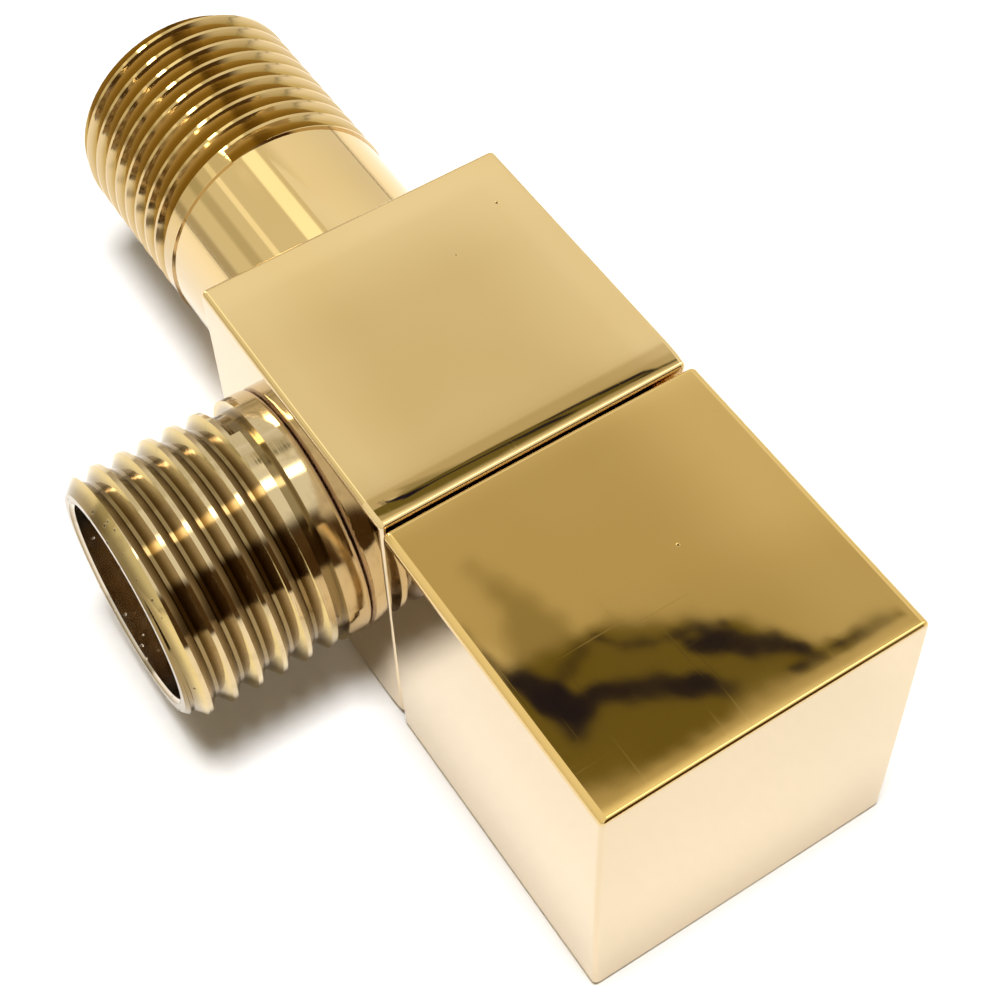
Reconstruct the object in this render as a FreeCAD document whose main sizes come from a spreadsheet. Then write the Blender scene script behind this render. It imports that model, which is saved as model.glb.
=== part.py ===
import FreeCAD, Part
import math
import os
import Sketcher

# A square-bodied quarter-turn angle valve: threaded inlet spigot, square block, side outlet spigot,
# ceramic-disc cartridge and a hollow square handle. X is the main axis, from the inlet's end face
# (the origin) to the handle; the outlet points along -Y; Z is up. Millimetres.

# Driving dimensions, kept in the document's spreadsheet under these names.
SIZES = {
    # inlet spigot, a 1/2 inch parallel pipe thread, and its plain neck
    "inlet_major": 20.955,
    "inlet_pitch": 1.814,
    "inlet_depth": 1.162,
    "inlet_runout": 0.789,
    "inlet_thread_length": 17.9,
    "neck_diameter": 20.6,
    "mouth_bore": 14.0,
    "mouth_depth": 13.5,
    "strainer_seat_bore": 13.0,
    "strainer_seat_depth": 1.8,
    "waterway": 12.0,
    # square block, with its polished roll-off towards the handle
    "block_back": 31.4,
    "block_length": 26.2,
    "block_width": 26.3,
    "roll_top": 2.6,
    "drop_top": 0.2,
    "roll_side": 2.2,
    "drop_side": 0.12,
    "edge_round": 0.45,
    "chamber_bore": 18.0,
    "chamber_floor": 35.4,
    # outlet spigot
    "outlet_place": 44.5,
    "outlet_reach": 28.7,
    "outlet_major": 20.7,
    "outlet_pitch": 2.12,
    "outlet_depth": 0.9,
    "outlet_runout": 0.1,
    "outlet_bore": 16.6,
    "outlet_bore_depth": 11.0,
    "collar_length": 2.1,
    "relief_length": 1.0,
    "stub_diameter": 16.0,
    "stub_length": 3.3,
    "outlet_seal_place": 1.9,
    # cartridge
    "housing_foot": 36.4,
    "skirt_radius": 8.5,
    "cavity_radius": 7.6,
    "cavity_end": 49.2,
    "housing_front": 61.6,
    "hex_across": 17.5,
    "hex_height": 2.8,
    "housing_collar_radius": 6.6,
    "housing_groove": 50.2,
    "housing_groove_width": 1.8,
    "housing_groove_root": 7.65,
    "window_start": 44.4,
    "window_length": 4.2,
    "window_width": 9.0,
    "stop_place": 42.9,
    "stop_thickness": 1.3,
    "disc_face": 40.45,
    "disc_thickness": 2.5,
    "spindle_radius": 4.0,
    "spindle_end": 71.0,
    "spindle_start": 44.9,
    "shoulder_start": 47.3,
    "shoulder_length": 1.1,
    "shoulder_radius": 5.9,
    "lower_groove": 50.6,
    "upper_groove": 54.4,
    "groove_width": 1.7,
    "groove_root": 2.72,
    "clip_groove_root": 3.2,
    "spline_radius": 3.9,
    "spline_depth": 0.4,
    "web_gap": 0.3,
    "web_thickness": 2.3,
    "spline_teeth": 20,
    # clearances
    "running_gap": 0.05,
    "face_gap": 0.02,
    # handle
    "handle_gap": 0.5,
    "handle_length": 26.4,
    "handle_width": 26.6,
    "handle_crown": 0.1,
    "handle_side_round": 0.6,
    "handle_end_round": 0.35,
    "handle_wall": 2.1,
    "boss_radius": 8.2,
    "boss_back": 65.0,
    "adaptor_radius": 6.0,
    "adaptor_back": 64.4,
    "adaptor_length": 11.8,
    "grub_place": 69.0,
    "grub_radius": 2.0,
}

doc = FreeCAD.newDocument("angle_valve")
sheet = doc.addObject("Spreadsheet::Sheet", "Sizes")
for row, (alias, value) in enumerate(SIZES.items(), 1):
    sheet.set(f"A{row}", alias)
    sheet.set(f"B{row}", str(value))
    sheet.setAlias(f"B{row}", alias)
doc.recompute()


class Size:
    """A length with the spreadsheet expression that it comes from."""

    def __init__(self, value, text):
        self.value = value
        self.text = text

    def __add__(self, other):
        other = as_size(other)
        return Size(self.value + other.value, f"({self.text} + {other.text})")

    def __sub__(self, other):
        other = as_size(other)
        return Size(self.value - other.value, f"({self.text} - {other.text})")

    def __mul__(self, factor):
        factor = as_size(factor)
        return Size(self.value * factor.value, f"({self.text} * {factor.text})")

    def __truediv__(self, factor):
        factor = as_size(factor)
        return Size(self.value / factor.value, f"({self.text} / {factor.text})")

    def __neg__(self):
        return Size(-self.value, f"(-1 * {self.text})")


def as_size(number):
    return number if isinstance(number, Size) else Size(float(number), f"({float(number)!r})")


def cell(alias):
    """The sheet's value of that name."""
    return Size(float(sheet.get(alias)), f"Sizes.{alias}")


# Sizes that follow from the driving ones.
BLOCK_FRONT = cell("block_back") + cell("block_length")
BLOCK_HALF = cell("block_width") / 2
CHAMBER_RADIUS = cell("chamber_bore") / 2
OUTLET_RADIUS = cell("outlet_major") / 2
HANDLE_BACK = BLOCK_FRONT + cell("handle_gap")
HANDLE_FRONT = HANDLE_BACK + cell("handle_length")
HANDLE_HALF = cell("handle_width") / 2
BORE_RADIUS = cell("spindle_radius") + cell("running_gap")
MOVING_DISC_BACK = cell("disc_face") + cell("face_gap")
MOVING_DISC_FRONT = MOVING_DISC_BACK + 2.2
BEYOND = 1.0  # how far a cut runs past the face that it opens

sub_parts = []


def new_body(label):
    """A PartDesign body that will be written as one sub-part."""
    body = doc.addObject("PartDesign::Body", label)
    body.Label = label
    sub_parts.append(body)
    return body


def origin_feature(body, role):
    """An origin plane or axis of a body, such as XY_Plane or X_Axis."""
    return next(f for f in body.Origin.OriginFeatures if f.Role == role)


def blank_sketch(body, name, plane, offset=None):
    """An empty sketch on an origin plane, moved along the plane's normal by offset."""
    sketch = body.newObject("Sketcher::SketchObject", name)
    sketch.AttachmentSupport = [(origin_feature(body, plane), "")]
    sketch.MapMode = "FlatFace"
    if offset is not None:
        sketch.setExpression("AttachmentOffset.Base.z", as_size(offset).text)
    return sketch


def pin_down(sketch, edge, end, x, y):
    """Ties an edge's end to the sizes x and y from the sketch's origin."""
    for kind, axis, size in (("DistanceX", -2, x), ("DistanceY", -1, y)):
        if abs(size.value) < 1e-9:
            sketch.addConstraint(Sketcher.Constraint("PointOnObject", edge, end, axis))
            continue
        index = sketch.addConstraint(Sketcher.Constraint(kind, -1, 1, edge, end, size.value))
        sketch.setExpression(f"Constraints[{index}]", size.text)


def arc_between(start, end, radius):
    """An arc that bulges to the right of the way from start to end."""
    chord = end - start
    half = chord.Length / 2
    rise = math.sqrt(radius**2 - half**2)
    normal = FreeCAD.Vector(-chord.y, chord.x, 0).normalize()
    centre = (start + end) / 2 + normal * rise
    middle = centre - normal * radius
    return Part.Arc(start, middle, end)


def add_loop(sketch, points, arcs=None):
    """A closed outline, counter-clockwise, through (x, y) sizes. arcs gives the radius of an outward arc from a point."""
    arcs = arcs or {}
    points = [(as_size(x), as_size(y)) for x, y in points]
    first = sketch.GeometryCount
    places = [FreeCAD.Vector(x.value, y.value, 0) for x, y in points]
    ends = places[1:] + places[:1]
    starts_at = {}
    for i, (start, end) in enumerate(zip(places, ends)):
        if i in arcs:
            curve = arc_between(start, end, as_size(arcs[i]).value)
        else:
            curve = Part.LineSegment(start, end)
        edge = sketch.addGeometry(curve, False)
        drawn = sketch.Geometry[edge]
        starts_at[edge] = 1 if (drawn.StartPoint - start).Length < 1e-6 else 2
    for i in range(len(points)):
        edge = first + i
        following = first + (i + 1) % len(points)
        finish_end = 3 - starts_at[edge]
        sketch.addConstraint(
            Sketcher.Constraint("Coincident", edge, finish_end, following, starts_at[following])
        )
    for i, (x, y) in enumerate(points):
        pin_down(sketch, first + i, starts_at[first + i], x, y)
    for i, radius in arcs.items():
        radius = as_size(radius)
        index = sketch.addConstraint(Sketcher.Constraint("Radius", first + i, radius.value))
        sketch.setExpression(f"Constraints[{index}]", radius.text)
    return sketch


def add_circle(sketch, x, y, radius):
    x, y, radius = as_size(x), as_size(y), as_size(radius)
    centre = FreeCAD.Vector(x.value, y.value, 0)
    circle = Part.Circle(centre, FreeCAD.Vector(0, 0, 1), radius.value)
    edge = sketch.addGeometry(circle, False)
    pin_down(sketch, edge, 3, x, y)
    index = sketch.addConstraint(Sketcher.Constraint("Radius", edge, radius.value))
    sketch.setExpression(f"Constraints[{index}]", radius.text)
    return sketch


def rectangle(low_x, low_y, high_x, high_y):
    return [(low_x, low_y), (high_x, low_y), (high_x, high_y), (low_x, high_y)]


def polar(radius, degrees):
    """The point at that radius and angle, as sizes."""
    angle = math.radians(degrees)
    return as_size(radius) * math.cos(angle), as_size(radius) * math.sin(angle)


def sector(inner, outer, middle, half_angle):
    """Corners of a ring sector, and the outward arc along its outer edge."""
    low, high = middle - half_angle, middle + half_angle
    corners = [polar(inner, low), polar(outer, low), polar(outer, high), polar(inner, high)]
    return corners, {1: outer}


def extrude(body, kind, name, sketch, length, both_ways=False, backwards=False):
    """A Pad or a Pocket of a sketch."""
    feature = body.newObject(f"PartDesign::{kind}", name)
    feature.Profile = sketch
    feature.setExpression("Length", as_size(length).text)
    feature.Midplane = both_ways
    feature.Reversed = backwards
    doc.recompute()
    return feature


def turn(body, kind, name, sketch, axis="H_Axis"):
    """A Revolution or a Groove of a sketch, a full turn about one of the sketch's axes."""
    feature = body.newObject(f"PartDesign::{kind}", name)
    feature.Profile = sketch
    feature.ReferenceAxis = (sketch, [axis])
    feature.Angle = 360
    doc.recompute()
    return feature


def repeat(body, name, feature, count, axis="X_Axis"):
    """A full-circle pattern of a feature about an origin axis."""
    pattern = body.newObject("PartDesign::PolarPattern", name)
    pattern.Originals = [feature]
    pattern.Axis = (origin_feature(body, axis), [""])
    pattern.Angle = 360
    count = as_size(count)
    pattern.Occurrences = int(count.value)
    if not count.text.startswith("("):
        pattern.setExpression("Occurrences", count.text)
    body.Tip = pattern
    doc.recompute()
    return pattern


def round_edges(body, name, radius, chosen):
    """A Fillet on the edges of the body's tip that chosen(edge) picks."""
    base = body.Tip
    names = [f"Edge{i}" for i, edge in enumerate(base.Shape.Edges, 1) if chosen(edge)]
    feature = body.newObject("PartDesign::Fillet", name)
    feature.Base = (base, names)
    feature.setExpression("Radius", as_size(radius).text)
    doc.recompute()
    return feature


def cut_thread(body, name, sketch, axis, pitch, height, reversed_way):
    """A helical groove of the sketch's profile about one of its axes."""
    feature = body.newObject("PartDesign::SubtractiveHelix", name)
    feature.Profile = sketch
    feature.ReferenceAxis = (sketch, [axis])
    feature.Mode = 0
    feature.setExpression("Pitch", as_size(pitch).text)
    feature.setExpression("Height", as_size(height).text)
    feature.Angle = 0
    feature.LeftHanded = False
    feature.Reversed = reversed_way
    doc.recompute()
    return feature


def ring_of_revolution(label, points):
    """A sub-part turned about the X axis from one closed half-section of (x, radius) points."""
    body = new_body(label)
    section = add_loop(blank_sketch(body, label + "_section", "XY_Plane"), points)
    turn(body, "Revolution", label + "_turned", section)
    return body


def o_ring(label, x, ring_radius, cord_radius):
    """A torus about the X axis."""
    torus = doc.addObject("Part::Torus", label)
    torus.Label = label
    torus.setExpression("Radius1", as_size(ring_radius).text)
    torus.setExpression("Radius2", as_size(cord_radius).text)
    torus.Placement = FreeCAD.Placement(
        FreeCAD.Vector(as_size(x).value, 0, 0), FreeCAD.Rotation(FreeCAD.Vector(0, 1, 0), 90)
    )
    sub_parts.append(torus)
    return torus


def thread_profile(along, radius, depth, pitch, out):
    """Corners (along the axis, radius) of the groove between two crests, for a groove centred at along.
    out is the side of the axis that the radius is drawn on."""
    crest_flat = 0.17
    root_flat = 0.14
    rim = as_size(pitch) * ((1 - crest_flat) / 2)
    foot = as_size(pitch) * (root_flat / 2)
    clear = 0.3
    slope = (rim - foot) / depth
    wide = rim + slope * clear
    root = radius - depth
    top = radius + clear
    corners = [(along - foot, root), (along + foot, root), (along + wide, top), (along - wide, top)]
    return [(x, r * out) for x, r in corners]


def block_outline(roll, drop):
    """The block seen square on: (x, side) points, with long gentle arcs down to the front edges."""
    shoulder = BLOCK_FRONT - roll
    low = BLOCK_HALF - drop
    points = [
        (cell("block_back"), -BLOCK_HALF),
        (shoulder, -BLOCK_HALF),
        (BLOCK_FRONT, -low),
        (BLOCK_FRONT, low),
        (shoulder, BLOCK_HALF),
        (cell("block_back"), BLOCK_HALF),
    ]
    arc_radius = (roll * roll + drop * drop) / (drop * 2)
    return points, {1: arc_radius, 3: arc_radius}


def make_valve_body():
    """The brass forging: inlet spigot, neck and square block in one piece, with its waterway."""
    body = new_body("valve_body")
    side_view = blank_sketch(body, "block_side_view", "XZ_Plane")
    add_loop(side_view, *block_outline(cell("roll_top"), cell("drop_top")))
    extrude(body, "Pad", "block", side_view, cell("block_width"), both_ways=True)

    plan_view = blank_sketch(body, "block_plan_view", "XY_Plane")
    reach = cell("block_width")
    margin = rectangle(cell("block_back") - BEYOND, -reach, BLOCK_FRONT + BEYOND, reach)
    points, arcs = block_outline(cell("roll_side"), cell("drop_side"))
    grown = [(cell("block_back") - BEYOND / 2, points[0][1])] + points[1:5]
    grown.append((cell("block_back") - BEYOND / 2, points[5][1]))
    add_loop(plan_view, margin)
    add_loop(plan_view, grown, arcs)
    extrude(body, "Pocket", "side_roll_off", plan_view, reach * 2, both_ways=True)
    round_edges(body, "block_edges", cell("edge_round"), lambda edge: True)

    spigot = blank_sketch(body, "spigot_section", "XY_Plane")
    major = cell("inlet_major") / 2
    neck = cell("neck_diameter") / 2
    lead = 1.1
    root = cell("block_back") + 2
    add_loop(
        spigot,
        [
            (0, 0),
            (root, 0),
            (root, neck),
            (cell("inlet_thread_length"), neck),
            (cell("inlet_thread_length"), major),
            (lead, major),
            (0, major - lead),
        ],
    )
    turn(body, "Revolution", "inlet_spigot", spigot)

    bores = blank_sketch(body, "waterway_section", "XY_Plane")
    mouth = cell("mouth_bore") / 2
    seat = cell("strainer_seat_bore") / 2
    way = cell("waterway") / 2
    seat_end = cell("mouth_depth") + cell("strainer_seat_depth")
    add_loop(
        bores,
        [
            (-BEYOND, 0),
            (BLOCK_FRONT + BEYOND, 0),
            (BLOCK_FRONT + BEYOND, CHAMBER_RADIUS),
            (cell("chamber_floor"), CHAMBER_RADIUS),
            (cell("chamber_floor"), way),
            (seat_end, way),
            (seat_end, seat),
            (cell("mouth_depth"), seat),
            (cell("mouth_depth"), mouth),
            (0.4, mouth),
            (-BEYOND, mouth + 0.4 + BEYOND),
        ],
    )
    turn(body, "Groove", "waterway_bores", bores)

    side_hole = blank_sketch(body, "outlet_hole_circle", "XZ_Plane")
    add_circle(side_hole, cell("outlet_place"), 0, cell("stub_diameter") / 2)
    extrude(body, "Pocket", "outlet_hole", side_hole, BLOCK_HALF + BEYOND, backwards=True)

    groove = blank_sketch(body, "inlet_thread_groove", "XY_Plane")
    pitch = cell("inlet_pitch")
    add_loop(groove, thread_profile(-pitch * 0.8, major, cell("inlet_depth"), pitch, 1))
    travel = cell("inlet_thread_length") + cell("inlet_runout")
    cut_thread(body, "inlet_thread", groove, "H_Axis", pitch, travel, False)
    return body


def make_outlet_spigot():
    """The threaded side spigot, screwed into the block by its short stub."""
    body = new_body("outlet_spigot")
    section = blank_sketch(body, "outlet_section", "XY_Plane")
    tip = -cell("outlet_reach")
    face = -BLOCK_HALF
    stub = cell("stub_diameter") / 2 - cell("running_gap")
    stub_end = face + cell("stub_length")
    collar_end = face - cell("collar_length")
    relief_end = collar_end - cell("relief_length")
    root = OUTLET_RADIUS - cell("outlet_depth")
    lead = 1.1
    shoulder = 0.4
    bore = cell("outlet_bore") / 2
    step = tip + cell("outlet_bore_depth")
    way = cell("waterway") / 2
    seal_half_width = 0.7
    seal_low = face + cell("outlet_seal_place") - seal_half_width
    seal_high = face + cell("outlet_seal_place") + seal_half_width
    seal_root = stub - 0.95
    add_loop(
        section,
        [
            (bore + 0.3, tip),
            (OUTLET_RADIUS - lead, tip),
            (OUTLET_RADIUS, tip + lead),
            (OUTLET_RADIUS, relief_end),
            (root, relief_end),
            (root, collar_end),
            (OUTLET_RADIUS, collar_end),
            (OUTLET_RADIUS, face - shoulder),
            (OUTLET_RADIUS - shoulder, face),
            (stub, face),
            (stub, seal_low),
            (seal_root, seal_low),
            (seal_root, seal_high),
            (stub, seal_high),
            (stub, stub_end),
            (way, stub_end),
            (way, step + (bore - way) * 0.6),
            (bore, step),
            (bore, tip + 0.3),
        ],
        {7: shoulder},
    )
    turn(body, "Revolution", "outlet_turned", section, "V_Axis")

    groove = blank_sketch(body, "outlet_thread_groove", "XY_Plane")
    pitch = cell("outlet_pitch")
    start = tip - pitch * 0.8
    corners = thread_profile(start, OUTLET_RADIUS, cell("outlet_depth"), pitch, 1)
    add_loop(groove, [(r, along) for along, r in reversed(corners)])
    travel = relief_end + cell("outlet_runout") - start
    cut_thread(body, "outlet_thread", groove, "V_Axis", pitch, travel, False)
    body.setExpression("Placement.Base.x", cell("outlet_place").text)
    return body


def make_outlet_o_ring():
    """The ring that seals the outlet spigot's stub in the block."""
    stub = cell("stub_diameter") / 2 - cell("running_gap")
    torus = o_ring("outlet_o_ring", 0, stub - 0.45, 0.47)
    depth = cell("outlet_seal_place").value
    torus.Placement = FreeCAD.Placement(
        FreeCAD.Vector(cell("outlet_place").value, depth - BLOCK_HALF.value, 0),
        FreeCAD.Rotation(FreeCAD.Vector(1, 0, 0), 90),
    )
    return torus


def make_strainer():
    """The inlet strainer: a brass rim round a slotted steel cup."""
    back = cell("mouth_depth") + 0.1
    front = cell("mouth_depth") + cell("strainer_seat_depth") - 0.02
    seat = cell("strainer_seat_bore") / 2 - 0.05
    cup = 5.25
    sheet_thickness = 0.35
    cup_end = back + 12.5
    ring_of_revolution("strainer_rim", rectangle(back, cup + 0.02, front, seat))
    body = new_body("strainer_cup")
    section = blank_sketch(body, "cup_section", "XY_Plane")
    add_loop(
        section,
        [
            (back, cup - sheet_thickness),
            (cup_end - sheet_thickness, cup - sheet_thickness),
            (cup_end - sheet_thickness, 0),
            (cup_end, 0),
            (cup_end, cup),
            (back, cup),
        ],
    )
    turn(body, "Revolution", "cup_turned", section)
    slot = blank_sketch(body, "cup_slot", "XZ_Plane")
    add_loop(slot, rectangle(back + 2.6, -0.5, cup_end - 1.2, 0.5))
    cut = extrude(body, "Pocket", "cup_slot_cut", slot, cup + BEYOND, backwards=True)
    repeat(body, "cup_slots", cut, 16)


def make_seat():
    """The rubber seal between the chamber's floor and the fixed disc, and the ring that keeps it open."""
    back = cell("chamber_floor") + 0.05
    front = cell("disc_face") - cell("disc_thickness") - cell("face_gap")
    ring_of_revolution("seat_seal", rectangle(back, 6.1, front, 7.45))
    ring_of_revolution("seat_support_ring", rectangle(back + 0.15, 5.2, front - 0.05, 6.05))


def make_fixed_disc():
    """The ceramic disc that stays still: two sector ports, and two keys that hold it in the housing."""
    body = new_body("fixed_disc")
    back = cell("disc_face") - cell("disc_thickness")
    face = add_circle(blank_sketch(body, "disc_outline", "YZ_Plane", back), 0, 0, 7.4)
    extrude(body, "Pad", "disc", face, cell("disc_thickness"))
    keys = blank_sketch(body, "disc_keys", "YZ_Plane", back)
    add_loop(keys, rectangle(-8.2, -1.2, 8.2, 1.2))
    extrude(body, "Pad", "keys", keys, cell("disc_thickness"))
    port = blank_sketch(body, "port_outline", "YZ_Plane", back)
    add_loop(port, *sector(1.7, 5.6, 90, 38))
    cut = extrude(body, "Pocket", "port", port, cell("disc_thickness"), backwards=True)
    repeat(body, "ports", cut, 2)
    return body


def make_rotating_disc():
    """The ceramic disc that turns: two wings that cover the ports, and a slot for the spindle."""
    body = new_body("rotating_disc")
    thickness = MOVING_DISC_FRONT - MOVING_DISC_BACK
    face = blank_sketch(body, "turning_outline", "YZ_Plane", MOVING_DISC_BACK)
    extrude(body, "Pad", "turning_disc", add_circle(face, 0, 0, 7.3), thickness)
    notch = blank_sketch(body, "notch_outline", "YZ_Plane", MOVING_DISC_BACK)
    add_loop(notch, *sector(1.8, 9.0, 0, 42))
    cut = extrude(body, "Pocket", "notch", notch, thickness, backwards=True)
    repeat(body, "notches", cut, 2)
    slot = blank_sketch(body, "tongue_slot_outline", "YZ_Plane", MOVING_DISC_FRONT)
    add_loop(slot, rectangle(-1.5, -8, 1.5, 8))
    extrude(body, "Pocket", "tongue_slot", slot, 1.0)
    return body


def make_housing():
    """The brass cartridge housing, screwed into the block, with stops for the spindle's quarter turn."""
    body = new_body("cartridge_housing")
    foot = cell("housing_foot")
    skirt = cell("skirt_radius")
    cavity = cell("cavity_radius")
    thread = CHAMBER_RADIUS - cell("running_gap")
    hex_end = BLOCK_FRONT + cell("hex_height")
    collar = cell("housing_collar_radius")
    flange = 9.8
    seal_root = cell("housing_groove_root")
    seal_back = cell("housing_groove")
    seal_front = seal_back + cell("housing_groove_width")
    section = blank_sketch(body, "housing_section", "XY_Plane")
    add_loop(
        section,
        [
            (foot, cavity),
            (cell("cavity_end"), cavity),
            (cell("cavity_end"), BORE_RADIUS),
            (cell("housing_front"), BORE_RADIUS),
            (cell("housing_front"), collar),
            (hex_end, collar),
            (hex_end, flange),
            (BLOCK_FRONT, flange),
            (BLOCK_FRONT, thread),
            (seal_front, thread),
            (seal_front, seal_root),
            (seal_back, seal_root),
            (seal_back, skirt),
            (foot, skirt),
        ],
    )
    turn(body, "Revolution", "housing_turned", section)

    hexagon = blank_sketch(body, "hexagon_outline", "YZ_Plane", BLOCK_FRONT)
    corner = cell("hex_across") / 2 / math.cos(math.pi / 6)
    add_circle(hexagon, 0, 0, flange + 2 * BEYOND)
    add_loop(hexagon, [polar(corner, 60 * i) for i in range(6)])
    extrude(body, "Pocket", "hexagon", hexagon, cell("hex_height"), backwards=True)

    windows = blank_sketch(body, "window_outline", "XZ_Plane")
    start = cell("window_start")
    half = cell("window_width") / 2
    add_loop(windows, rectangle(start, -half, start + cell("window_length"), half))
    extrude(body, "Pocket", "windows", windows, skirt * 3, both_ways=True)

    slots = blank_sketch(body, "key_slot_outline", "XZ_Plane")
    key_half = 1.3
    add_loop(slots, rectangle(foot - BEYOND, -key_half, cell("disc_face") + 0.05, key_half))
    extrude(body, "Pocket", "key_slots", slots, skirt * 3, both_ways=True)

    stop = blank_sketch(body, "stop_outline", "YZ_Plane", cell("stop_place"))
    stop_inner = 6.05
    stop_outer = 8.0
    add_loop(stop, *sector(stop_inner, stop_outer, 45, 20))
    rib = extrude(body, "Pad", "stop", stop, cell("stop_thickness"))
    repeat(body, "stops", rib, 2)
    return body


def make_spindle():
    """The brass spindle: driving tongue and foot bar, shoulder, seal grooves, clip groove and spline."""
    body = new_body("spindle")
    shank = cell("spindle_radius")
    root = cell("groove_root")
    tip = cell("spindle_end")
    spline = cell("spline_radius")
    spline_end = 0.4
    clip = cell("housing_front") + 0.1
    clip_root = cell("clip_groove_root")
    start = cell("spindle_start")
    shoulder = cell("shoulder_radius")
    shoulder_back = cell("shoulder_start")
    shoulder_front = shoulder_back + cell("shoulder_length")
    lower = cell("lower_groove")
    lower_end = lower + cell("groove_width")
    upper = cell("upper_groove")
    upper_end = upper + cell("groove_width")
    section = blank_sketch(body, "spindle_section", "XY_Plane")
    add_loop(
        section,
        [
            (start, 0),
            (tip, 0),
            (tip, spline - spline_end),
            (tip - spline_end, spline),
            (clip + 1.0, spline),
            (clip + 1.0, clip_root),
            (clip, clip_root),
            (clip, shank),
            (upper_end, shank),
            (upper_end, root),
            (upper, root),
            (upper, shank),
            (lower_end, shank),
            (lower_end, root),
            (lower, root),
            (lower, shank),
            (shoulder_front, shank),
            (shoulder_front, shoulder),
            (shoulder_back, shoulder),
            (shoulder_back, shank),
            (start, shank),
        ],
    )
    turn(body, "Revolution", "spindle_turned", section)

    bar_back = MOVING_DISC_FRONT + 0.05
    bar_half = 2.5
    bar_reach = 6.4
    bar_tip_radius = 6.87
    bar = blank_sketch(body, "foot_bar_outline", "YZ_Plane", bar_back)
    corners = rectangle(-bar_half, -bar_reach, bar_half, bar_reach)
    add_loop(bar, corners, {0: bar_tip_radius, 2: bar_tip_radius})
    extrude(body, "Pad", "foot_bar", bar, 2.5)
    tongue_half = 1.45
    tongue_reach = 5.8
    tongue = blank_sketch(body, "tongue_outline", "YZ_Plane", bar_back - 0.95)
    add_loop(tongue, rectangle(-tongue_half, -tongue_reach, tongue_half, tongue_reach))
    extrude(body, "Pad", "tongue", tongue, 1.0)

    valley = blank_sketch(body, "spline_valley", "YZ_Plane", clip + 1.0)
    low = spline - cell("spline_depth")
    high = spline + 0.2
    root_half = 0.05
    rim_half = 0.63
    add_loop(valley, [(low, -root_half), (high, -rim_half), (high, rim_half), (low, root_half)])
    cut = extrude(body, "Pocket", "valley", valley, tip - clip + BEYOND, backwards=True)
    repeat(body, "spline_valleys", cut, cell("spline_teeth"))

    hole_depth = 7.0
    tapped = blank_sketch(body, "tapped_hole_circle", "YZ_Plane", tip - hole_depth)
    add_circle(tapped, 0, 0, 2.0)
    extrude(body, "Pocket", "tapped_hole", tapped, hole_depth + BEYOND, backwards=True)
    return body


def make_spindle_rings():
    """The two O-rings in the spindle's grooves, and the one round the housing."""
    cord = (BORE_RADIUS - cell("groove_root")) / 2 - 0.03
    middle = (BORE_RADIUS + cell("groove_root")) / 2
    half_groove = cell("groove_width") / 2
    o_ring("lower_spindle_o_ring", cell("lower_groove") + half_groove, middle, cord)
    o_ring("upper_spindle_o_ring", cell("upper_groove") + half_groove, middle, cord)
    place = cell("housing_groove") + cell("housing_groove_width") / 2
    o_ring("housing_o_ring", place, (CHAMBER_RADIUS + cell("housing_groove_root")) / 2, 0.65)


def make_circlip():
    """The spring clip that keeps the spindle in the housing."""
    body = new_body("spindle_circlip")
    back = cell("housing_front") + 0.15
    outline = blank_sketch(body, "circlip_outline", "YZ_Plane", back)
    thickness = 0.8
    add_circle(outline, 0, 0, 5.9)
    add_circle(outline, 0, 0, cell("clip_groove_root") + 0.05)
    extrude(body, "Pad", "circlip_ring", outline, thickness)
    gap = blank_sketch(body, "circlip_gap", "YZ_Plane", back)
    add_loop(gap, [(0, 0), (7.0, -3.2), (7.0, 3.2)])
    extrude(body, "Pocket", "circlip_opening", gap, thickness, backwards=True)
    return body


def make_adaptor():
    """The splined adaptor that carries the handle on the spindle."""
    body = new_body("handle_adaptor")
    back = cell("adaptor_back")
    front = back + cell("adaptor_length")
    outer = cell("adaptor_radius")
    low = cell("spline_radius") - cell("spline_depth") + 0.08
    web = cell("spindle_end") + cell("web_gap")
    web_front = web + cell("web_thickness")
    screw_hole = 2.15
    head_room = 3.8
    section = blank_sketch(body, "adaptor_section", "XY_Plane")
    add_loop(
        section,
        [
            (back, low),
            (web, low),
            (web, screw_hole),
            (web_front, screw_hole),
            (web_front, head_room),
            (front, head_room),
            (front, outer),
            (back, outer),
        ],
    )
    turn(body, "Revolution", "adaptor_turned", section)
    notch = blank_sketch(body, "adaptor_notch", "YZ_Plane", back - BEYOND)
    high = cell("spline_radius") + 0.07
    turned = 360 / SIZES["spline_teeth"] / 2
    inner = low - 0.05
    rim_spread = math.degrees(0.22 / high.value)
    foot_spread = math.degrees(0.53 / inner.value)
    corners = [
        polar(inner, turned - foot_spread),
        polar(high, turned - rim_spread),
        polar(high, turned + rim_spread),
        polar(inner, turned + foot_spread),
    ]
    add_loop(notch, corners)
    cut = extrude(body, "Pocket", "notch_cut", notch, web - back + BEYOND, backwards=True)
    repeat(body, "adaptor_notches", cut, cell("spline_teeth"))
    flat = blank_sketch(body, "adaptor_flat_outline", "XZ_Plane")
    place = cell("grub_place")
    add_loop(flat, rectangle(place - 2.4, -outer - BEYOND, place + 2.4, -5.5))
    extrude(body, "Pocket", "adaptor_flat", flat, outer * 3, both_ways=True)
    return body


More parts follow.
